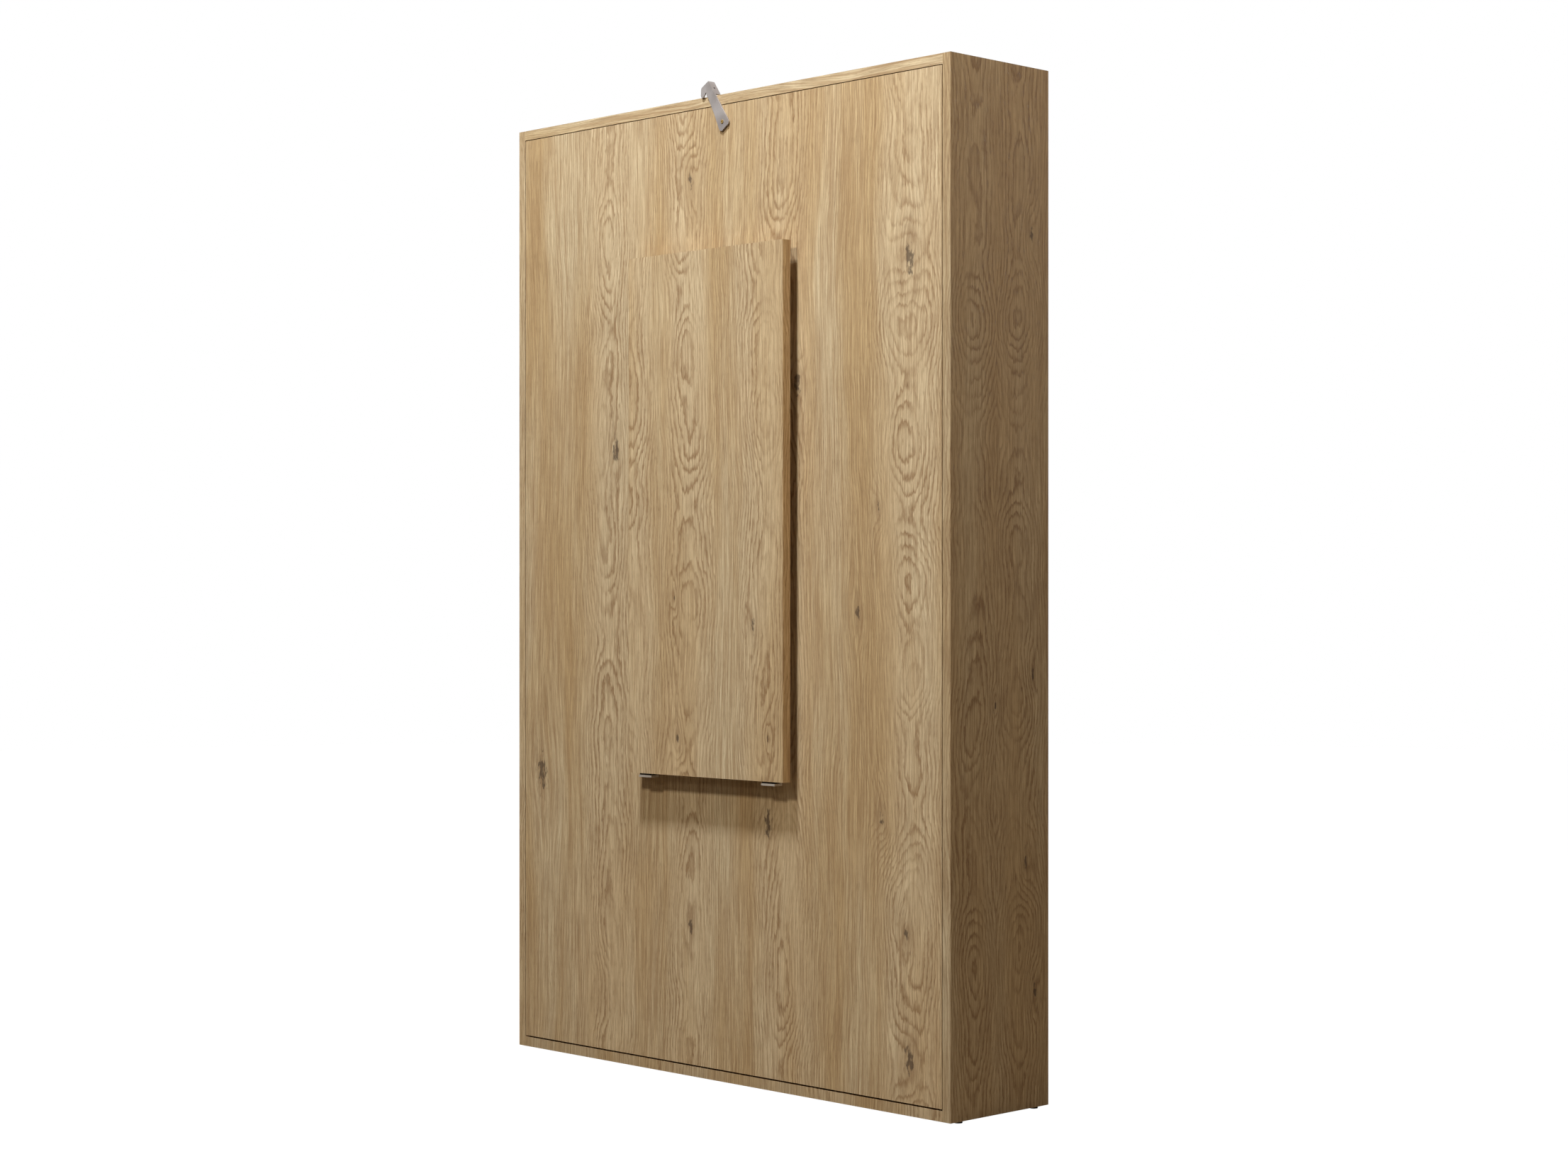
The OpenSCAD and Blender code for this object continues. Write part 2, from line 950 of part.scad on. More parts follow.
module strut_cylinder_left() {
    color(black)
        on_left()
            strut_cylinder();
}

module strut_eye() {
    strut_frame()
        difference() {
            union() {
                rod_x(-eye_t / 2, eye_t / 2, 0, 0, eye_r);
                cylinder(h = tube_z0, r = 4.5);
            }
            rod_x(-eye_t, eye_t, 0, 0, stud_r + fit);
        }
}

module strut_eye_right() {
    color(black)
        strut_eye();
}

module strut_eye_left() {
    color(black)
        on_left()
            strut_eye();
}

// Rod with its piston inside the cylinder and a socket facing the bed's stud
module strut_rod() {
    strut_frame() {
        translate([0, 0, piston_z])
            cylinder(h = strut_l - 12 - piston_z, r = stud_r);
        translate([0, 0, piston_z])
            cylinder(h = 8, r = tube_bore - 0.08);
        translate([0, 0, strut_l - 28])
            cylinder(h = 20, r = 5);
        rod_x(-eye_t / 2, eye_t / 2, 0, strut_l, eye_r);
    }
}

module strut_rod_right() {
    color(steel)
        strut_rod();
}

module strut_rod_left() {
    color(steel)
        on_left()
            strut_rod();
}

// ---- latch ----

latch_outline = [
    [-17, -7], [-13, 28], [-11, 73], [-13, 79], [-10, 88], [-23, 83], [-28, 84], [-28, 91],
    [-20, 103], [-17, 105], [8, 105], [17, -5]
];

// Hook of bent sheet: a tapered strap, a prong to the left and a flange bent back on the right
module latch_hook() {
    color(steel)
        latch_frame(front_y - latch_off) {
            difference() {
                rotate([90, 0, 0])
                    linear_extrude(height = latch_t)
                        union() {
                            polygon(latch_outline);
                            polygon([[-17, -7], [17, -5], [13, -15], [-12, -17]]);
                            for (v = [-10, 10])
                                translate([v, -9])
                                    circle(r = 7);
                        }
                translate([0, 1, 0])
                    rotate([90, 0, 0])
                        cylinder(h = latch_t + 2, r = 3 + slack);
            }
            difference() {
                translate([0, flange_d - latch_t, 0])
                    rotate([90, 0, 0])
                        linear_extrude(height = flange_d)
                            polygon([
                                [edge_v(flange_u0), flange_u0],
                                [edge_v(flange_u1), flange_u1],
                                [edge_v(flange_u1) - latch_t, flange_u1],
                                [edge_v(flange_u0) - latch_t, flange_u0]
                            ]);
                translate([0, catch_y - front_y + latch_off, flange_hole_u])
                    rotate([0, 90, 0])
                        cylinder(h = 30, r = 2.5);
            }
        }
}

side_panel_left();
side_panel_right();
top_panel();
bottom_panel();
rear_rail_top();
rear_rail_middle();
rear_rail_bottom();
cam_locks();
floor_glides();
pivot_plate_left();
pivot_plate_right();
pivot_pins();
strut_anchor_left();
strut_anchor_right();
stop_blocks();
bump_stops();
catch_bracket();
cabinet_screws();
front_panel();
side_rail_left();
side_rail_right();
head_rail();
foot_rail();
cross_rails();
slats();
slat_holders();
mattress();
mattress_straps();
strap_buckles();
pivot_bracket_left();
pivot_bracket_right();
pivot_bushes();
strut_stud_left();
strut_stud_right();
front_angles();
front_clevises();
front_clevis_pins();
bed_screws();
latch_screw();
latch_washer();
arm_lower_left();
arm_lower_right();
arm_upper_left();
arm_upper_right();
leg_panel();
foot_bracket_left();
foot_bracket_right();
foot_pads();
leg_clevises();
leg_pins();
leg_screws();
strut_cylinder_left();
strut_cylinder_right();
strut_eye_left();
strut_eye_right();
strut_rod_left();
strut_rod_right();
latch_hook();
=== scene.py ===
"""Looks of the vertical wall bed: oak boards, steel fittings, a quilted mattress and its straps."""

import json
import math

import bmesh
import bpy
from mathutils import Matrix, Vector


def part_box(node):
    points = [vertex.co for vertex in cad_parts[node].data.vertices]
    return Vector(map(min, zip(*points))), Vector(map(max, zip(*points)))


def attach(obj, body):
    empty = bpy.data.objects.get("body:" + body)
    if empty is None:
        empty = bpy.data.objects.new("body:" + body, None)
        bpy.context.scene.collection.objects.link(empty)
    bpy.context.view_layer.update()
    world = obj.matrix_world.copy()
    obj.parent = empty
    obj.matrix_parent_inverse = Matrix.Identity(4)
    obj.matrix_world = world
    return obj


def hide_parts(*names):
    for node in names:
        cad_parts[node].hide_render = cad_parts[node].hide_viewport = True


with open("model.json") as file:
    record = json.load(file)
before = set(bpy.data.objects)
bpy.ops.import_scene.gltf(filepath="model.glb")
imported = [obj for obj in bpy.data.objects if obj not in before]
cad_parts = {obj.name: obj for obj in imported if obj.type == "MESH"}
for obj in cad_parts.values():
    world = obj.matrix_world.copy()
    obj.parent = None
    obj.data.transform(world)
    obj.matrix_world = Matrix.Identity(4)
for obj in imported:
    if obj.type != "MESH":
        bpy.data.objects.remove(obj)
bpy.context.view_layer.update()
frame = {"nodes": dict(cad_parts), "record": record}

nodes = frame["nodes"]
MM = 0.001

# ---------------------------------------------------------------- places, from the frame

cabinet_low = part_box("side_panel_left")[0]
cabinet_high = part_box("side_panel_right")[1]
cabinet_h = cabinet_high.z
front_corner = Vector((cabinet_high.x, cabinet_low.y, 0))

# ---------------------------------------------------------------- camera, light and floor

CAMERA_OFFSET = (1.7537, -1.9220)  # right and forward of the front corner, in cabinet heights
CAMERA_HEIGHT = 0.4945  # in cabinet heights
CAMERA_AZIMUTH = 45.794  # degrees
CAMERA_LENS = 64.07  # mm, on a film 36 mm wide
CAMERA_SHIFT = 0.0041

LIGHT_TARGET = (0, 0, 0.55 * cabinet_h)
LIGHTS = (  # name, place and size in metres, power in watts, tint
    ("overhead", (0.1, -1.9, 5.6), (0.45, 0.45), 280, (0.82, 0.89, 1)),
    ("key", (0.1, -4.7, 5.0), (0.6, 0.6), 150, (1, 0.945, 0.85)),
    ("front_low", (-0.8, -4.2, 2.6), (0.6, 0.6), 8, (1, 0.95, 0.85)),
    ("side_top", (3.2, -0.6, 4.4), (1.2, 1.2), 66, (1, 0.86, 0.70)),
    ("back_fill", (0.3, 4.5, 3.0), (3.0, 2.5), 160, (1, 1, 1)),
)
ROOM_TINT = (1, 0.78, 0.58, 1)
ROOM_STRENGTH = 0.045

FLOOR_RADIUS = 14
FLOOR_TONE = (0.16, 0.12, 0.08)  # dark and warm, so that little light bounces up from it
FLOOR_GAP = 0.5 * MM


def make_camera():
    data = bpy.data.cameras.new("camera")
    data.sensor_width = 36
    data.lens = CAMERA_LENS
    data.shift_y = CAMERA_SHIFT
    data.clip_start = 0.05
    data.clip_end = 100
    camera = bpy.data.objects.new("camera", data)
    camera.location = (
        front_corner.x + CAMERA_OFFSET[0] * cabinet_h,
        front_corner.y + CAMERA_OFFSET[1] * cabinet_h,
        CAMERA_HEIGHT * cabinet_h,
    )
    camera.rotation_euler = (math.radians(90), 0, math.radians(CAMERA_AZIMUTH))
    bpy.context.scene.collection.objects.link(camera)
    bpy.context.scene.camera = camera


def make_lights():
    for name, place, size, power, tint in LIGHTS:
        data = bpy.data.lights.new(name, "AREA")
        data.shape = "RECTANGLE"
        data.size, data.size_y = size
        data.energy = power
        data.color = tint
        lamp = bpy.data.objects.new(name, data)
        lamp.location = place
        aim = Vector(LIGHT_TARGET) - Vector(place)
        lamp.rotation_euler = aim.to_track_quat("-Z", "Y").to_euler()
        bpy.context.scene.collection.objects.link(lamp)


def make_world():
    """A white room to the camera, and a faint warm one to the light that falls on the bed."""
    world = bpy.data.worlds.new("studio")
    bpy.context.scene.world = world
    world.use_nodes = True
    tree = world.node_tree
    tree.nodes.clear()
    seen = tree.nodes.new("ShaderNodeBackground")
    seen.inputs["Color"].default_value = (1, 1, 1, 1)
    seen.inputs["Strength"].default_value = 1.0
    lit = tree.nodes.new("ShaderNodeBackground")
    lit.inputs["Color"].default_value = ROOM_TINT
    lit.inputs["Strength"].default_value = ROOM_STRENGTH
    path = tree.nodes.new("ShaderNodeLightPath")
    mix = tree.nodes.new("ShaderNodeMixShader")
    out = tree.nodes.new("ShaderNodeOutputWorld")
    tree.links.new(path.outputs["Is Camera Ray"], mix.inputs["Fac"])
    tree.links.new(lit.outputs[0], mix.inputs[1])
    tree.links.new(seen.outputs[0], mix.inputs[2])
    tree.links.new(mix.outputs[0], out.inputs[0])


def make_floor():
    """A floor that is white where the camera sees it, with no horizon line."""
    bm = bmesh.new()
    bmesh.ops.create_circle(bm, cap_ends=True, radius=FLOOR_RADIUS, segments=96)
    mesh = bpy.data.meshes.new("studio_floor")
    bm.to_mesh(mesh)
    bm.free()
    floor = bpy.data.objects.new("studio_floor", mesh)
    floor.location.z = -FLOOR_GAP
    bpy.context.scene.collection.objects.link(floor)
    g = Graph("studio_floor", roughness=0.9, specular=0.1)
    g.colour(FLOOR_TONE)
    g.put((1, 1, 1), g.bsdf.inputs["Emission Color"])
    path = g.tree.nodes.new("ShaderNodeLightPath")
    g.put(path.outputs["Is Camera Ray"], g.bsdf.inputs["Emission Strength"])
    mesh.materials.append(g.material)


# ---------------------------------------------------------------- shader helpers


class Graph:
    """Short names for building one material's nodes."""

    def __init__(self, name, roughness=0.5, metallic=0.0, specular=0.5):
        self.material = bpy.data.materials.new(name)
        self.material.use_nodes = True
        self.tree = self.material.node_tree
        self.bsdf = self.tree.nodes["Principled BSDF"]
        self.bsdf.inputs["Roughness"].default_value = roughness
        self.bsdf.inputs["Metallic"].default_value = metallic
        self.bsdf.inputs["Specular IOR Level"].default_value = specular

    def put(self, value, socket):
        """Links a socket to another, or sets it to a number or a colour of three numbers."""
        if isinstance(value, bpy.types.NodeSocket):
            self.tree.links.new(value, socket)
        elif socket.type == "RGBA":
            socket.default_value = (*value, 1)
        else:
            socket.default_value = value

    def math(self, operation, a, b=0.0):
        node = self.tree.nodes.new("ShaderNodeMath")
        node.operation = operation
        self.put(a, node.inputs[0])
        self.put(b, node.inputs[1])
        return node.outputs[0]

    def add(self, a, b):
        return self.math("ADD", a, b)

    def take(self, a, b):
        return self.math("SUBTRACT", a, b)

    def times(self, a, b):
        return self.math("MULTIPLY", a, b)

    def coords(self):
        node = self.tree.nodes.new("ShaderNodeTexCoord")
        split = self.tree.nodes.new("ShaderNodeSeparateXYZ")
        self.tree.links.new(node.outputs["Object"], split.inputs[0])
        return split.outputs[0], split.outputs[1], split.outputs[2]

    def vector(self, x, y, z):
        node = self.tree.nodes.new("ShaderNodeCombineXYZ")
        for value, socket in zip((x, y, z), node.inputs):
            self.put(value, socket)
        return node.outputs[0]

    def noise(self, vector, scale=1.0, detail=2.0, rough=0.5):
        node = self.tree.nodes.new("ShaderNodeTexNoise")
        self.put(vector, node.inputs["Vector"])
        node.inputs["Scale"].default_value = scale
        node.inputs["Detail"].default_value = detail
        node.inputs["Roughness"].default_value = rough
        return node.outputs["Fac"]

    def ramp(self, value, stops):
        """Maps value through (place, grey level) stops."""
        node = self.tree.nodes.new("ShaderNodeValToRGB")
        self.put(value, node.inputs[0])
        elements = node.color_ramp.elements
        while len(elements) < len(stops):
            elements.new(0.5)
        for element, (place, grey) in zip(elements, stops):
            element.position = place
            element.color = (grey, grey, grey, 1)
        return node.outputs[0]

    def span(self, value, low, high, to_low=0.0, to_high=1.0, smooth=True):
        """Maps value from the range low to high onto to_low to to_high, and no further."""
        node = self.tree.nodes.new("ShaderNodeMapRange")
        node.interpolation_type = "SMOOTHSTEP" if smooth else "LINEAR"
        self.put(value, node.inputs["Value"])
        self.put(low, node.inputs["From Min"])
        self.put(high, node.inputs["From Max"])
        self.put(to_low, node.inputs["To Min"])
        self.put(to_high, node.inputs["To Max"])
        return node.outputs["Result"]

    def mix(self, factor, a, b, blend="MIX"):
        node = self.tree.nodes.new("ShaderNodeMix")
        node.data_type = "RGBA"
        node.blend_type = blend
        self.put(factor, node.inputs["Factor"])
        for value, letter in ((a, "A"), (b, "B")):
            self.put(value, next(s for s in node.inputs if s.name == letter and s.type == "RGBA"))
        return next(s for s in node.outputs if s.type == "RGBA")

    def stain(self, colour, tone, where, strength):
        """Turns colour towards tone where a value from 0 to 1 says so."""
        return self.mix(self.times(where, strength), colour, tone)

    def bump(self, height, distance, strength=1.0):
        node = self.tree.nodes.new("ShaderNodeBump")
        node.inputs["Strength"].default_value = strength
        node.inputs["Distance"].default_value = distance
        self.put(height, node.inputs["Height"])
        self.tree.links.new(node.outputs[0], self.bsdf.inputs["Normal"])

    def colour(self, value):
        self.put(value, self.bsdf.inputs["Base Color"])

    def roughness(self, value):
        self.put(value, self.bsdf.inputs["Roughness"])


def srgb(r, g, b):
    """A colour given as 0 to 255 sRGB, as linear light."""
    return tuple(((v / 255 + 0.055) / 1.055) ** 2.4 for v in (r, g, b))


def shaded(tone, factor):
    return tuple(v * factor for v in tone)


# ---------------------------------------------------------------- oak

OAK_PALE = srgb(221, 202, 164)
OAK_WARM = srgb(203, 175, 129)
OAK_BLUSH = srgb(208, 176, 130)
OAK_CLEAR = srgb(224, 200, 160)  # between the figured stretches
OAK_STREAK = srgb(164, 130, 90)
OAK_LATE = srgb(136, 99, 60)  # the dark half of a growth ring
OAK_FIBRE = srgb(140, 108, 72)
OAK_PORE = srgb(108, 80, 52)
OAK_HALO = srgb(150, 122, 90)  # stained wood round a knot
OAK_KNOT = srgb(74, 58, 46)

RINGS_A_METRE = 128.0
RING_CROWDING = 90.0  # extra rings, as the square of the distance from the tree's heart
RING_PROFILE = ((0.0, 0.0), (0.45, 0.12), (0.80, 1.0), (0.90, 0.5), (1.0, 0.0))
HEART_DEPTH = 0.06  # of the tree's heart below the veneer, on average, in metres
HEART_REACH = (0.03, 0.12)  # where the figure beside a heart starts and ends its fading
FAR_FIGURE = 0.5  # what is left of it beyond that
KNOT_LENGTH = 2.6  # a knot's length along the grain, in widths
KNOT_LEAN = 0.5
KNOT_PUSH = -0.6  # how far the fibres part round a knot


class Veneer(Graph):
    """One oak board: across and along are a point's places across and along its grain."""

    def __init__(self, name, grain, seed):
        super().__init__(name, roughness=0.5, specular=0.4)
        x, y, z = self.coords()
        self.seed = seed
        if grain == "Z":
            self.across, self.along = self.add(x, y), z
        else:
            self.across, self.along = self.add(y, z), x

    def cloud(self, across_rate, along_rate, offset, detail=3.0, rough=0.5, source=None):
        """Noise stretched along the grain, with its rates in cycles a metre."""
        across = self.times(self.across if source is None else source, across_rate)
        along = self.times(self.along, along_rate)
        return self.noise(self.vector(across, along, self.seed + offset), detail=detail, rough=rough)

    def centred(self, value, amount):
        """Turns a value from 0 to 1 into one from minus to plus half of amount."""
        return self.times(self.take(value, 0.5), amount)

    def wander(self, across_rate, along_rate, offset, amount, detail=3.0):
        return self.centred(self.cloud(across_rate, along_rate, offset, detail=detail), amount)

    def part_fibres(self, bent, knots):
        """Parts the fibres round each knot. Also gives the knots' cores and halos, from 0 to 1."""
        core = 0.0
        halo = 0.0
        for k_across, k_along, radius in knots:
            aside = self.take(self.across, k_across)
            ahead = self.add(self.take(self.along, k_along), self.times(aside, KNOT_LEAN))
            reach = self.add(
                self.math("POWER", self.math("DIVIDE", aside, radius), 2.0),
                self.math("POWER", self.math("DIVIDE", ahead, radius * KNOT_LENGTH), 2.0),
            )
            swell = self.math("EXPONENT", self.times(reach, -0.22))
            bent = self.add(bent, self.times(self.times(aside, swell), KNOT_PUSH))
            core = self.math("MAXIMUM", core, self.math("EXPONENT", self.times(reach, -3.0)))
            halo = self.math("MAXIMUM", halo, swell)
        return bent, core, halo

    def growth_rings(self, bent, halo, hearts):
        """Rings cut by a plane that wanders in depth below each heart, which makes nested arches.
        Gives the late wood from 0 to 1, and how strong the figure is from FAR_FIGURE to 1."""
        offset = 10.0
        for heart in hearts:
            offset = self.math("MINIMUM", offset, self.math("ABSOLUTE", self.take(bent, heart)))
        depth = self.add(self.wander(1.3, 1.9, 9, 0.19, detail=2.0), self.wander(10.0, 6.0, 10, 0.014))
        depth = self.add(depth, HEART_DEPTH)
        radius = self.math("SQRT", self.add(self.times(offset, offset), self.times(depth, depth)))
        crowding = self.times(self.times(radius, radius), RING_CROWDING)
        phase = self.add(self.times(radius, RINGS_A_METRE), crowding)
        phase = self.add(phase, self.times(halo, 2.4))
        phase = self.add(phase, self.times(self.cloud(45.0, 6.0, 5), 1.2))
        phase = self.add(phase, self.times(self.cloud(190.0, 42.0, 6, detail=2.0), 0.85))
        late = self.ramp(self.math("FRACT", phase), RING_PROFILE)
        figure = self.span(offset, *HEART_REACH, 1.0, FAR_FIGURE)
        patches = self.span(self.cloud(14.0, 2.6, 12), 0.34, 0.60, 0.2, 1.0)
        return self.times(late, self.times(figure, patches)), figure


def oak(name, grain="Z", hearts=(0.0,), knots=(), light=1.0, seed=0.0):
    """Knotty oak veneer. grain is the axis the fibres run along, hearts the places across the
    grain where the figure forms cathedrals, and knots are (across, along, radius) in metres."""
    g = Veneer(name, grain, seed)
    bent = g.add(g.across, g.wander(2.6, 0.9, 0, 0.085))
    bent = g.add(bent, g.wander(9.0, 4.0, 3, 0.014))
    bent, core, halo = g.part_fibres(bent, knots)
    late, figure = g.growth_rings(bent, halo, hearts)

    fibre = g.cloud(420.0, 9.0, 1, detail=4.0, rough=0.7, source=bent)
    streak = g.cloud(170.0, 2.4, 2, detail=5.0, rough=0.65, source=bent)
    pore = g.cloud(700.0, 46.0, 4, detail=2.0, source=bent)
    pore = g.times(g.span(pore, 0.56, 0.70), g.add(g.times(late, 0.9), 0.4))
    band = g.cloud(7.5, 0.7, 7, source=bent)
    blush = g.cloud(5.0, 1.8, 8)

    colour = g.mix(g.span(band, 0.36, 0.64), OAK_PALE, OAK_WARM)
    colour = g.stain(colour, OAK_BLUSH, g.span(blush, 0.42, 0.70), 0.3)
    streaking = g.span(figure, FAR_FIGURE, 1.0, 0.56, 0.36)
    colour = g.stain(colour, OAK_STREAK, g.span(streak, 0.42, 0.62), streaking)
    colour = g.mix(g.span(figure, FAR_FIGURE, 1.0, 0.0, 0.35), colour, OAK_CLEAR)
    colour = g.stain(colour, OAK_LATE, late, 0.76)
    colour = g.stain(colour, OAK_FIBRE, g.span(fibre, 0.40, 0.60), 0.54)
    colour = g.stain(colour, OAK_PORE, pore, 0.55)
    if knots:
        crack = g.cloud(150.0, 60.0, 16, detail=4.0)
        colour = g.stain(colour, OAK_HALO, g.span(halo, 0.45, 1.0), 0.22)
        hole = g.span(g.add(core, g.centred(crack, 2.2)), 0.55, 0.95)
        hole = g.times(hole, g.span(core, 0.06, 0.35))
        colour = g.stain(colour, OAK_KNOT, hole, 0.75)
    # a light factor below 1 darkens the whole board's colour; on the right side panel, light=0.86 is
    # painted shade
    if light != 1.0:
        colour = g.mix(1.0, colour, (light, light, light), "MULTIPLY")
    g.colour(colour)
    g.roughness(g.span(fibre, 0.2, 0.8, 0.46, 0.62, smooth=False))
    sunken = g.add(pore, g.times(late, 0.2))
    g.bump(g.take(g.times(fibre, 0.4), sunken), 0.18 * MM, 0.7)
    return g.material


# ---------------------------------------------------------------- other materials


def plain_wood(name, pale, dark, grain="Z", scale=1.0):
    """Straight-grained wood for the hidden boards and slats."""
    g = Graph(name, roughness=0.55)
    x, y, z = g.coords()
    across = g.add(y, z if grain == "X" else x)
    along = x if grain == "X" else z
    streak = g.noise(g.vector(g.times(across, 90 * scale), g.times(along, 2.0), 1.0), detail=4.0)
    fleck = g.noise(g.vector(g.times(across, 700 * scale), g.times(along, 40.0), 2.0), detail=2.0)
    colour = g.mix(g.span(streak, 0.3, 0.7), pale, dark)
    g.colour(g.stain(colour, shaded(dark, 0.6), g.span(fleck, 0.55, 0.75), 0.35))
    g.roughness(g.span(streak, 0.2, 0.8, 0.48, 0.62, smooth=False))
    g.bump(g.take(streak, fleck), 0.1 * MM, 0.5)
    return g.material


def metal(name, tone, roughness, brushed=True, cloud=0.05, metallic=1.0):
    """Steel with a fine brushed or clouded finish and faint smudges."""
    g = Graph(name, roughness=roughness, metallic=metallic)
    x, y, z = g.coords()
    if brushed:
        fine = g.noise(g.vector(g.times(x, 2600.0), g.times(y, 2600.0), g.times(z, 60.0)), detail=3.0)
    else:
        fine = g.noise(g.vector(x, y, z), scale=420.0, detail=3.0)
    smudge = g.noise(g.vector(x, y, z), scale=24.0, detail=4.0)
    dark = tuple(max(v - cloud * 2.4, 0) for v in tone)
    colour = g.mix(g.span(smudge, 0.3, 0.7), dark, tone)
    g.colour(g.stain(colour, shaded(tone, 0.7), fine, 0.25))
    g.roughness(g.span(g.add(fine, smudge), 0.6, 1.4, roughness - 0.08, roughness + 0.12, smooth=False))
    g.bump(fine, 0.04 * MM, 0.5)
    return g.material


def moulded(name, tone, roughness, grain=900.0):
    """Plastic, paint or rubber with a fine surface grain."""
    g = Graph(name, roughness=roughness)
    x, y, z = g.coords()
    fine = g.noise(g.vector(x, y, z), scale=grain, detail=3.0)
    dust = g.noise(g.vector(x, y, z), scale=30.0, detail=5.0)
    dusty = tuple(v * 1.8 + 0.01 for v in tone)
    g.colour(g.stain(tone, dusty, g.span(dust, 0.45, 0.8), 0.25))
    g.roughness(g.span(dust, 0.3, 0.7, roughness - 0.06, roughness + 0.08, smooth=False))
    g.bump(fine, 0.08 * MM, 0.6)
    return g.material


def knitted(name, tone, painted_shade_and_lint, pitch=1.6 * MM):
    """Knitted mattress ticking: rows of small loops with painted shade in the hollows between them,
    faint lint and clouding.
    """
    g = Graph(name, roughness=0.92, specular=0.2)
    x, y, z = g.coords()
    turn = math.tau / pitch
    rows = g.math("SINE", g.times(z, turn))
    loops = g.math("ABSOLUTE", g.math("SINE", g.times(g.add(x, y), turn * 0.5)))
    loop = g.times(g.add(g.times(rows, 0.5), 0.5), loops)
    lint = g.noise(g.vector(x, y, z), scale=260.0, detail=4.0)
    cloud = g.noise(g.vector(x, y, z), scale=5.0, detail=3.0)
    # painted shade: the hollows between the loops, where the bump sits low, take the darker colour
    colour = g.mix(g.span(loop, 0.1, 0.8), painted_shade_and_lint, tone)
    colour = g.stain(colour, shaded(tone, 0.86), g.span(cloud, 0.35, 0.7), 0.20)
    g.colour(g.stain(colour, painted_shade_and_lint, g.span(lint, 0.55, 0.75), 0.15))
    g.bsdf.inputs["Sheen Weight"].default_value = 0.25
    g.bsdf.inputs["Sheen Roughness"].default_value = 0.5
    g.bump(g.add(loop, g.times(lint, 0.5)), 0.6 * MM, 0.6)
    return g.material


def woven(name, tone, pitch=2.2 * MM):
    """Flat webbing: two crossed sets of yarns, with painted shade where the weave sits low."""
    g = Graph(name, roughness=0.8, specular=0.3)
    x, y, z = g.coords()
    turn = math.tau / pitch
    warp = g.math("SINE", g.times(z, turn))
    weft = g.math("SINE", g.times(g.add(x, y), turn * 0.6))
    cross = g.times(warp, weft)
    lint = g.noise(g.vector(x, y, z), scale=700.0, detail=3.0)
    # painted shade: where the crossed yarns sit low in the bump, the colour is darker
    colour = g.mix(g.span(cross, -0.6, 0.8), shaded(tone, 0.6), tone)
    g.colour(g.stain(colour, shaded(tone, 1.3), lint, 0.3))
    g.bump(g.add(cross, lint), 0.5 * MM, 0.6)
    return g.material


# ---------------------------------------------------------------- the frame's finishes

# Hearts and knots of each oak board, in metres in the part's frame
FRONT_HEARTS = (-0.50, -0.225, 0.075, 0.445)
FRONT_KNOTS = (
    (0.45, 1.77, 0.028), (0.30, 1.04, 0.014), (0.03, 0.58, 0.026), (0.37, 0.61, 0.012),
    (-0.74, 0.66, 0.036), (0.12, 1.53, 0.024), (0.45, 0.12, 0.026), (0.44, 0.38, 0.013),
    (-0.22, 2.00, 0.016), (-0.475, 1.41, 0.026), (0.36, 1.26, 0.010), (-0.22, 0.34, 0.016),
)
LEG_HEARTS = (-0.235, -0.42, 0.02)
LEG_KNOTS = ((-0.016, 1.01, 0.013), (-0.27, 1.07, 0.007), (-0.26, 0.76, 0.010), (0.03, 0.77, 0.007))
SIDE_HEARTS = (0.63, 0.77)
SIDE_KNOTS = (
    (0.815, 1.83, 0.013), (0.82, 0.91, 0.012), (0.825, 0.25, 0.013), (0.70, 0.85, 0.007),
    (0.795, 0.52, 0.010),
)

BOARDS = (
    "side_panel_left", "side_panel_right", "top_panel", "bottom_panel", "front_panel", "leg_panel",
    "rear_rail_top", "rear_rail_middle", "rear_rail_bottom", "side_rail_left", "side_rail_right",
    "head_rail", "foot_rail", "cross_rails", "slats", "stop_blocks",
)
METAL_PARTS = (
    "latch_hook", "foot_bracket_left", "foot_bracket_right", "arm_lower_left", "arm_lower_right",
    "arm_upper_left", "arm_upper_right", "catch_bracket", "pivot_bracket_left", "pivot_bracket_right",
    "front_angles", "strut_anchor_left", "strut_anchor_right",
)


def oak_finishes():
    rail = oak("oak_rail", grain="X", hearts=(0.3, 1.35, 2.3), light=0.95, seed=52.0)
    return {
        "front_panel": oak("oak_front", hearts=FRONT_HEARTS, knots=FRONT_KNOTS, seed=1.0),
        "leg_panel": oak("oak_leg", hearts=LEG_HEARTS, knots=LEG_KNOTS, seed=14.0),
        # the right side panel is the front's oak made darker: painted shade for the side that the lamps
        # light less
        "side_panel_right": oak("oak_side", hearts=SIDE_HEARTS, knots=SIDE_KNOTS, light=0.86, seed=27.0),
        "side_panel_left": oak("oak_side_left", hearts=(-0.75, -0.60), light=0.95, seed=31.0),
        "top_panel": oak("oak_flat", grain="X", hearts=(2.32,), seed=40.0),
        "bottom_panel": oak("oak_flat_low", hearts=(-0.3, 0.2, 0.5), light=0.93, seed=44.0),
        "rear_rail_top": rail,
        "rear_rail_middle": rail,
        "rear_rail_bottom": rail,
    }


def bed_frame_finishes():
    pine = (srgb(214, 184, 140), srgb(184, 148, 104))
    board = plain_wood("frame_board", *pine)
    board_flat = plain_wood("frame_board_flat", *pine, grain="X")
    beech = plain_wood("beech", srgb(230, 204, 166), srgb(214, 182, 140), grain="X", scale=1.4)
    return {
        "side_rail_left": board, "side_rail_right": board, "stop_blocks": board,
        "head_rail": board_flat, "foot_rail": board_flat, "cross_rails": board_flat,
        "slats": beech,
    }


def fitting_finishes():
    bronze = metal("bronze_screw", srgb(186, 162, 122), 0.45, brushed=False, metallic=0.25)
    # the foot tabs are near white with little metallic: painted light, since they sit in the leg panel's
    # shade
    tab = metal("steel_painted_light", srgb(232, 228, 224), 0.5, metallic=0.15)
    return {"latch_screw": bronze, "foot_bracket_left": tab, "foot_bracket_right": tab}


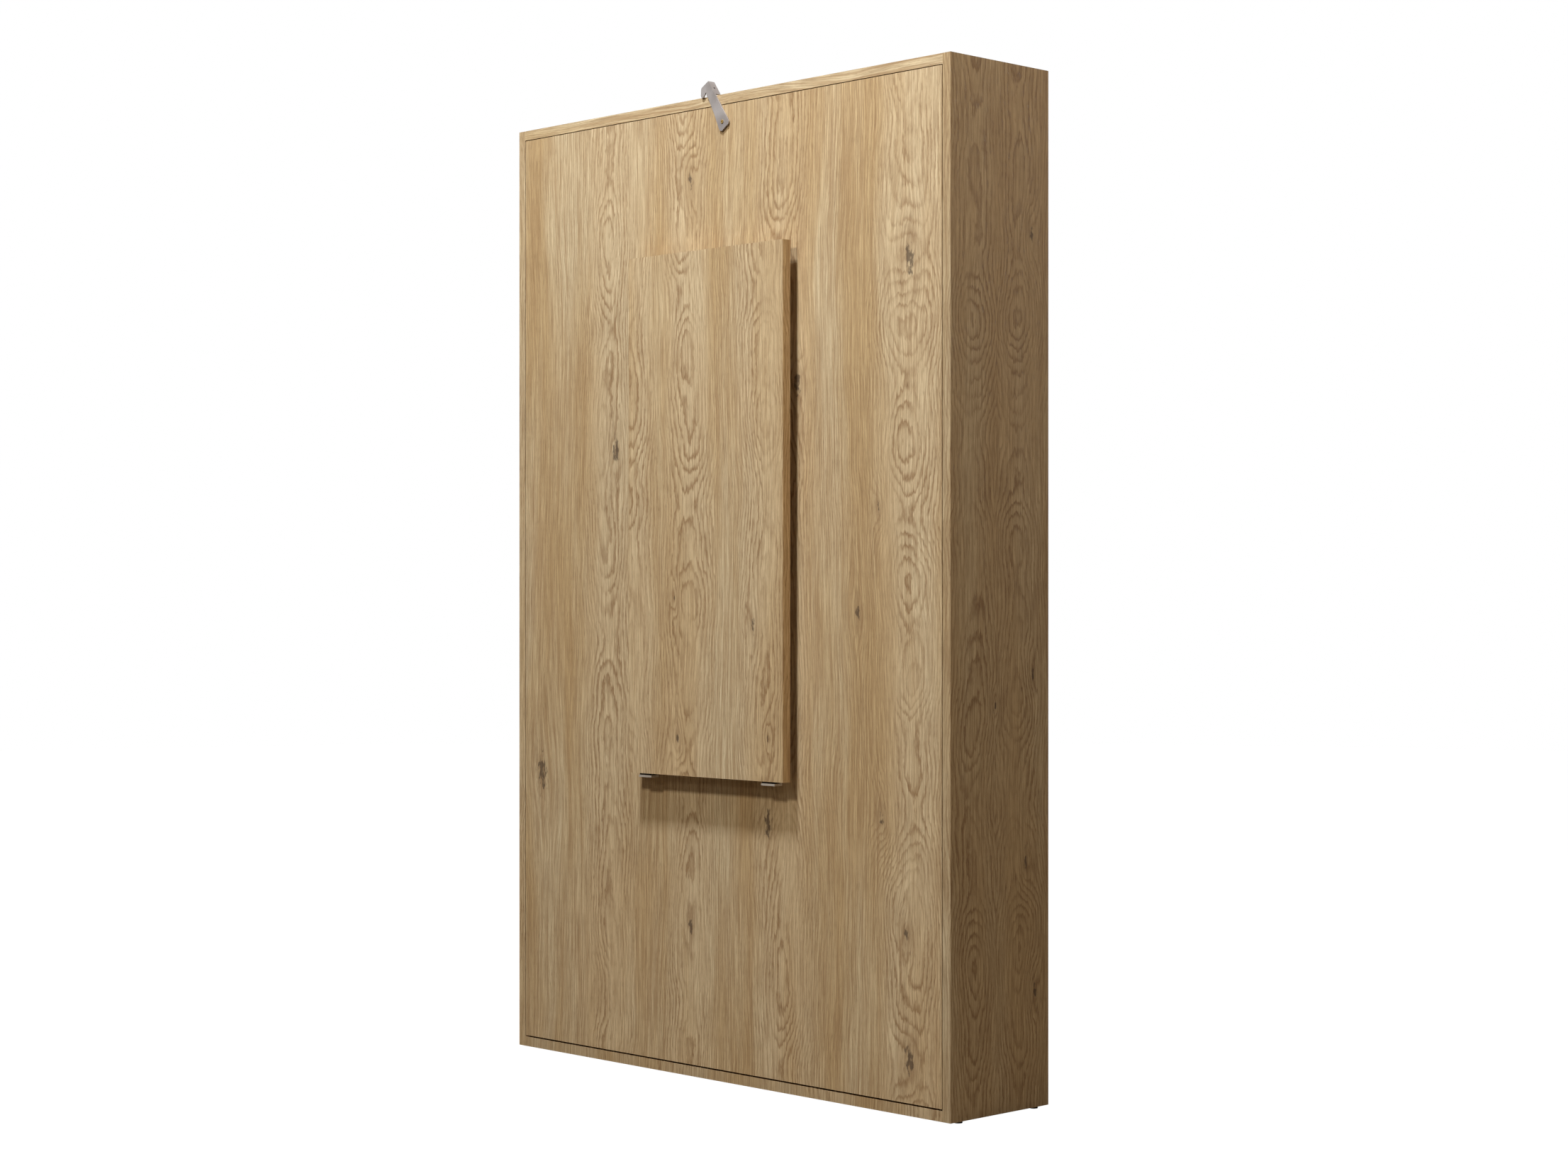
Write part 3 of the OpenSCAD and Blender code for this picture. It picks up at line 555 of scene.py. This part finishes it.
def slot_finishes():
    """What the rest of the nodes get, by the record's material slot. The ticking and webbing slots
    belong to the solids of the mattress and its straps, which are replaced below."""
    plastic = moulded("black_plastic", srgb(40, 40, 42), 0.5)
    return {
        "zinc_steel": metal("zinc_steel", srgb(196, 198, 202), 0.38, brushed=False, cloud=0.08),
        "grey_steel": metal("grey_steel", srgb(182, 175, 171), 0.46, metallic=0.35),
        "bright_steel": metal("bright_steel", srgb(216, 216, 218), 0.18),
        "black_plastic": plastic,
        "black_paint": moulded("black_paint", srgb(30, 30, 32), 0.25, grain=300.0),
        "rubber": moulded("rubber", srgb(44, 42, 41), 0.75, grain=600.0),
        "ticking": plastic,
        "webbing": plastic,
    }


def paint_frame():
    """A finished material for every CAD node that stays on show."""
    by_node = {**oak_finishes(), **bed_frame_finishes(), **fitting_finishes()}
    by_slot = slot_finishes()
    slots = {part["node"]: part["material_slot"] for part in frame["record"]["subparts"]}
    for name, node in nodes.items():
        finish = by_node.get(name) or by_slot[slots[name]]
        node.data.materials.clear()
        node.data.materials.append(finish)


def bevel_edges(piece, width):
    """Rounds a piece's edges a little, so that they catch the light as real ones do."""
    bevel = piece.modifiers.new("edge", "BEVEL")
    bevel.width = width
    bevel.segments = 2
    return bevel


def soften_frame():
    for names, width in ((BOARDS, 0.7 * MM), (METAL_PARTS, 0.35 * MM)):
        for name in names:
            bevel = bevel_edges(nodes[name], width)
            bevel.limit_method = "ANGLE"
            bevel.angle_limit = math.radians(50)


# ---------------------------------------------------------------- mattress

STRAP_W = 45 * MM
STRAP_T = 1.8 * MM
WEBBING_BEVEL = 0.5 * MM
PLAN_R = 45 * MM  # the mattress's four upright corners
RIM_R = 22 * MM  # and the rims round its faces
QUILT_CELLS = 9  # quilted squares across the mattress
CELL_STEPS = 8  # grid steps in one quilted square
SIDE_STEPS = 10  # grid steps through the mattress's thickness
STITCH_SINK = 3.5 * MM
CLOTH_FRAMES = 18
SWELL = 4.5  # cloth pressure
SWELL_CAP = 9 * MM
SIDE_SWELL_CAP = 3 * MM
SLAT_GAP = 0.2 * MM
STRAP_GAP = 0.4 * MM
STRAP_SINK = 2.5 * MM  # how far the straps press the cover down
STRAP_MARGIN = 4 * MM  # flat cover beside each strap
STRAP_SLOPE = 0.22  # and the rise of the cover beyond it
PIPING_INSET = 17 * MM
PIPING_R = 3.6 * MM
HANDLE_W = 28 * MM
HANDLE_T = 1.6 * MM
HANDLE_REACH = 110 * MM  # half of a handle's length
HANDLE_STEPS = 10  # in that half


def link_mesh(name, mesh, material, body):
    piece = bpy.data.objects.new(name, mesh)
    bpy.context.scene.collection.objects.link(piece)
    mesh.materials.append(material)
    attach(piece, body)
    return piece


def mesh_from(bm, name):
    mesh = bpy.data.meshes.new(name)
    bm.to_mesh(mesh)
    bm.free()
    return mesh


def shell_grid(low, high, counts, shape):
    """Closed box surface of counts cells a side, each point passed through shape."""
    bm = bmesh.new()
    points = {}
    size = high - low

    def point(i, j, k):
        if (i, j, k) not in points:
            share = Vector((i / counts[0], j / counts[1], k / counts[2]))
            flat = Vector(low[a] + share[a] * size[a] for a in range(3))
            points[i, j, k] = bm.verts.new(shape(flat))
        return points[i, j, k]

    for axis in range(3):
        u, v = (axis + 1) % 3, (axis + 2) % 3
        for end in (0, counts[axis]):
            for a in range(counts[u]):
                for b in range(counts[v]):
                    corners = []
                    for da, db in ((0, 0), (1, 0), (1, 1), (0, 1)):
                        spot = [0, 0, 0]
                        spot[axis], spot[u], spot[v] = end, a + da, b + db
                        corners.append(point(*spot))
                    bm.faces.new(corners if end else corners[::-1])
    bm.verts.index_update()
    return bm, points


def clamp(value, low, high):
    return min(max(value, low), high)


def rounded(low, high):
    """Moves a point on a box onto one with rounded upright corners and rounded rims."""
    centre = (low + high) / 2
    rim_start = 0.9  # of the way out from the middle
    rim_rise = 10  # so that the rim is fully drawn in at the very edge

    def shape(p):
        q = p.copy()
        inner_x = clamp(p.x, low.x + PLAN_R, high.x - PLAN_R)
        inner_z = clamp(p.z, low.z + PLAN_R, high.z - PLAN_R)
        inner = Vector((inner_x, 0, inner_z))
        out = Vector((p.x, 0, p.z)) - inner
        if out.length > PLAN_R:
            out = out.normalized() * PLAN_R
        q.x, q.z = inner.x + out.x, inner.z + out.z
        depth = min(p.y - low.y, high.y - p.y)
        edge = min(p.x - low.x, high.x - p.x, p.z - low.z, high.z - p.z)
        if depth < RIM_R and edge < RIM_R:
            pull = RIM_R - math.sqrt(max(RIM_R ** 2 - (RIM_R - max(depth, 0)) ** 2, 0))
            for axis in (0, 2):
                half = (high[axis] - low[axis]) / 2
                side = (q[axis] - centre[axis]) / half
                if abs(side) > rim_start:
                    drawn_in = pull * min((abs(side) - rim_start) * rim_rise, 1) * (1 - edge / RIM_R)
                    q[axis] -= math.copysign(drawn_in, side)
        return q

    return shape


def press_flat(piece):
    """Keeps the cover on top of the slats and under the straps, which pull it down."""
    slats_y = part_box("mattress")[0].y + SLAT_GAP
    straps_low, straps_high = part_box("mattress_straps")
    under = straps_high.y - STRAP_T * 1.5 - STRAP_GAP
    for vertex in piece.data.vertices:
        vertex.co.y = max(vertex.co.y, slats_y)
        for centre in (straps_low.z + STRAP_W / 2, straps_high.z - STRAP_W / 2):
            away = max(abs(vertex.co.z - centre) - STRAP_W / 2 - STRAP_MARGIN, 0)
            vertex.co.y = min(vertex.co.y, under - STRAP_SINK + away * STRAP_SLOPE)


def quilt_cloth(piece, stitched):
    """Blows the cover out between its stitches with a short cloth run, and caps how far it goes."""
    rest = [v.co.copy() for v in piece.data.vertices]
    held = piece.vertex_groups.new(name="stitched")
    held.add(stitched, 1.0, "REPLACE")
    cloth = piece.modifiers.new("cloth", "CLOTH")
    cloth.settings.quality = 6
    cloth.settings.mass = 0.25
    cloth.settings.tension_stiffness = 6
    cloth.settings.compression_stiffness = 6
    cloth.settings.shear_stiffness = 4
    cloth.settings.bending_stiffness = 0.4
    cloth.settings.use_pressure = True
    cloth.settings.uniform_pressure_force = SWELL
    cloth.settings.shrink_min = -0.03
    cloth.settings.vertex_group_mass = "stitched"
    cloth.settings.effector_weights.gravity = 0
    cloth.collision_settings.use_self_collision = False
    scene = bpy.context.scene
    for step in range(1, CLOTH_FRAMES + 1):
        scene.frame_set(step)
    blown = piece.evaluated_get(bpy.context.evaluated_depsgraph_get()).data
    moved = [v.co.copy() for v in blown.vertices]
    piece.modifiers.remove(cloth)
    for vertex, start, end in zip(piece.data.vertices, rest, moved):
        shift = end - start
        if shift.length > SWELL_CAP:
            shift = shift.normalized() * SWELL_CAP
        for axis in (0, 2):
            shift[axis] = clamp(shift[axis], -SIDE_SWELL_CAP, SIDE_SWELL_CAP)
        vertex.co = start + shift
    scene.frame_set(1)


def sink_stitches(points, counts):
    """Sinks the quilt lines into both faces. Gives the points that the stitches hold."""
    stitched = []
    for (i, j, k), vertex in points.items():
        on_rim = i in (0, counts[0]) or k in (0, counts[2])
        on_line = i % CELL_STEPS == 0 or k % CELL_STEPS == 0
        if j in (0, counts[1]) and (on_line or on_rim):
            stitched.append(vertex.index)
            if not on_rim:
                vertex.co.y += (1 if j == 0 else -1) * STITCH_SINK
        elif j in (1, counts[1] - 1):
            stitched.append(vertex.index)
    return stitched


def make_mattress():
    """The quilted cover. Gives the box that it is drawn in, before it swells."""
    low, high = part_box("mattress")
    low = low + Vector((2, 3, 2)) * MM
    high = high - Vector((2, 1, 2)) * MM
    step = (high.x - low.x) / (QUILT_CELLS * CELL_STEPS)
    rows = round((high.z - low.z) / step / CELL_STEPS) * CELL_STEPS
    counts = (QUILT_CELLS * CELL_STEPS, SIDE_STEPS, rows)
    bm, points = shell_grid(low, high, counts, rounded(low, high))
    stitched = sink_stitches(points, counts)
    mesh = mesh_from(bm, "mattress_cover")
    # the second colour is painted shade for the hollows between the loops, and the colour of the lint
    ticking = knitted("ticking", srgb(216, 212, 202), srgb(176, 172, 162))
    piece = link_mesh("mattress_cover", mesh, ticking, "bed")
    for face in mesh.polygons:
        face.use_smooth = True
    quilt_cloth(piece, stitched)
    press_flat(piece)
    smooth = piece.modifiers.new("smooth", "SUBSURF")
    smooth.levels = 1
    smooth.render_levels = 1
    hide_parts("mattress")
    return low, high


def ring_points(low, high, y, radius, steps=10):
    """Points of a rounded rectangle in X and Z at depth y."""
    points = []
    for cx, cz, start in (
        (high.x - radius, high.z - radius, 0), (low.x + radius, high.z - radius, 90),
        (low.x + radius, low.z + radius, 180), (high.x - radius, low.z + radius, 270),
    ):
        for step in range(steps + 1):
            turn = math.radians(start + 90 * step / steps)
            points.append((cx + radius * math.cos(turn), y, cz + radius * math.sin(turn)))
    return points


def tube_loop(name, points, radius, material):
    curve = bpy.data.curves.new(name, "CURVE")
    curve.dimensions = "3D"
    curve.bevel_depth = radius
    curve.bevel_resolution = 4
    spline = curve.splines.new("POLY")
    spline.points.add(len(points) - 1)
    for spot, place in zip(spline.points, points):
        spot.co = (*place, 1)
    spline.use_cyclic_u = True
    curve.materials.append(material)
    piece = bpy.data.objects.new(name, curve)
    bpy.context.scene.collection.objects.link(piece)
    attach(piece, "bed")


def make_piping(low, high):
    """Corded edge round both faces of the mattress."""
    cord = woven("piping", srgb(150, 152, 158), 1.6 * MM)
    for name, y in (("piping_under", low.y + PIPING_INSET), ("piping_top", high.y - PIPING_INSET)):
        tube_loop(name, ring_points(low, high, y, PLAN_R), PIPING_R, cord)


# ---------------------------------------------------------------- webbing


def ribbon(bm, path, width_axis, centre, width, thickness):
    """Adds a flat strap along path, a list of (point, outward normal), to a bmesh."""
    rings = []
    for place, normal in path:
        half = width_axis * (width / 2)
        edge = normal * (thickness / 2)
        corners = ((-1, -1), (1, -1), (1, 1), (-1, 1))
        rings.append([bm.verts.new(centre + place + a * half + b * edge) for a, b in corners])
    for first, second in zip(rings, rings[1:]):
        for s in range(4):
            bm.faces.new((first[s], first[(s + 1) % 4], second[(s + 1) % 4], second[s]))
    bm.faces.new(rings[0][::-1])
    bm.faces.new(rings[-1])


def strap_path(side_x, top_y, foot_y):
    """Up one rail, round over the mattress and down the other rail, in X and Y."""
    bend = 16 * MM
    bend_steps = 8
    top_steps = 24
    ripple = 0.6 * MM
    left, right, up = Vector((-1, 0, 0)), Vector((1, 0, 0)), Vector((0, 1, 0))
    middle_y = (foot_y + top_y) / 2

    def corner(centre_x, start):
        points = []
        for step in range(bend_steps + 1):
            turn = math.radians(start - 90 * step / bend_steps)
            out = Vector((math.cos(turn), math.sin(turn), 0))
            points.append((Vector((centre_x, top_y - bend, 0)) + out * bend, out))
        return points

    path = [(Vector((-side_x, foot_y, 0)), left), (Vector((-side_x, middle_y, 0)), left)]
    path += corner(-side_x + bend, 180)
    for step in range(1, top_steps):
        share = step / top_steps
        x = (-side_x + bend) + (side_x - bend) * 2 * share
        y = top_y + ripple * math.cos(share * QUILT_CELLS * math.tau)
        path.append((Vector((x, y, 0)), up))
    path += corner(side_x - bend, 90)
    path += [(Vector((side_x, middle_y, 0)), right), (Vector((side_x, foot_y, 0)), right)]
    return path


def make_straps():
    """Two webbing straps that hold the mattress while the bed stands upright."""
    low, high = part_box("mattress_straps")
    bm = bmesh.new()
    path = strap_path(high.x - STRAP_T, high.y - STRAP_T, low.y)
    for z in (low.z + STRAP_W / 2, high.z - STRAP_W / 2):
        ribbon(bm, path, Vector((0, 0, 1)), Vector((0, 0, z)), STRAP_W, STRAP_T)
    bmesh.ops.recalc_face_normals(bm, faces=bm.faces)
    webbing = woven("webbing", srgb(92, 95, 100))
    piece = link_mesh("strap_webbing", mesh_from(bm, "strap_webbing"), webbing, "bed")
    bevel_edges(piece, WEBBING_BEVEL)
    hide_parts("mattress_straps")


def box_into(bm, low, high):
    made = bmesh.ops.create_cube(bm, size=1)
    for vertex in made["verts"]:
        vertex.co = Vector((low[a] + (vertex.co[a] + 0.5) * (high[a] - low[a])) for a in range(3))


def make_handle(name, base, out, material):
    """A webbing handle that bows out from base, with a stitched patch on each end."""
    lift = 4.2 * MM
    bow = 3.6 * MM
    patch = Vector((1.6, 16, 9)) * MM
    path = []
    for step in range(-HANDLE_STEPS, HANDLE_STEPS + 1):
        share = step / HANDLE_STEPS
        rise = lift + bow * math.cos(share * math.pi / 2)
        path.append((Vector((0, 0, share * HANDLE_REACH)) + out * rise, out))
    bm = bmesh.new()
    ribbon(bm, path, Vector((0, 1, 0)), base, HANDLE_W, HANDLE_T)
    for tip in (-1, 1):
        middle = base + Vector((0, 0, tip * HANDLE_REACH)) + out * lift
        box_into(bm, middle - patch, middle + patch)
    bmesh.ops.recalc_face_normals(bm, faces=bm.faces)
    handle = link_mesh(name, mesh_from(bm, name), material, "bed")
    bevel_edges(handle, WEBBING_BEVEL)


def make_handles(low, high):
    """Carrying handles sewn to the mattress's long sides."""
    webbing = woven("handle_webbing", srgb(112, 115, 122))
    for side, x in (("left", low.x), ("right", high.x)):
        out = Vector((math.copysign(1, x), 0, 0))
        for end, share in (("head", 0.28), ("foot", 0.72)):
            base = Vector((x, (low.y + high.y) / 2, low.z + (high.z - low.z) * share))
            make_handle(f"handle_{side}_{end}", base, out, webbing)


# ---------------------------------------------------------------- scene

make_camera()
make_lights()
make_world()
make_floor()
paint_frame()
soften_frame()
mattress_low, mattress_high = make_mattress()
make_piping(mattress_low, mattress_high)
make_straps()
make_handles(mattress_low, mattress_high)

bpy.context.scene.view_settings.view_transform = "Standard"
bpy.context.scene.view_settings.look = "None"
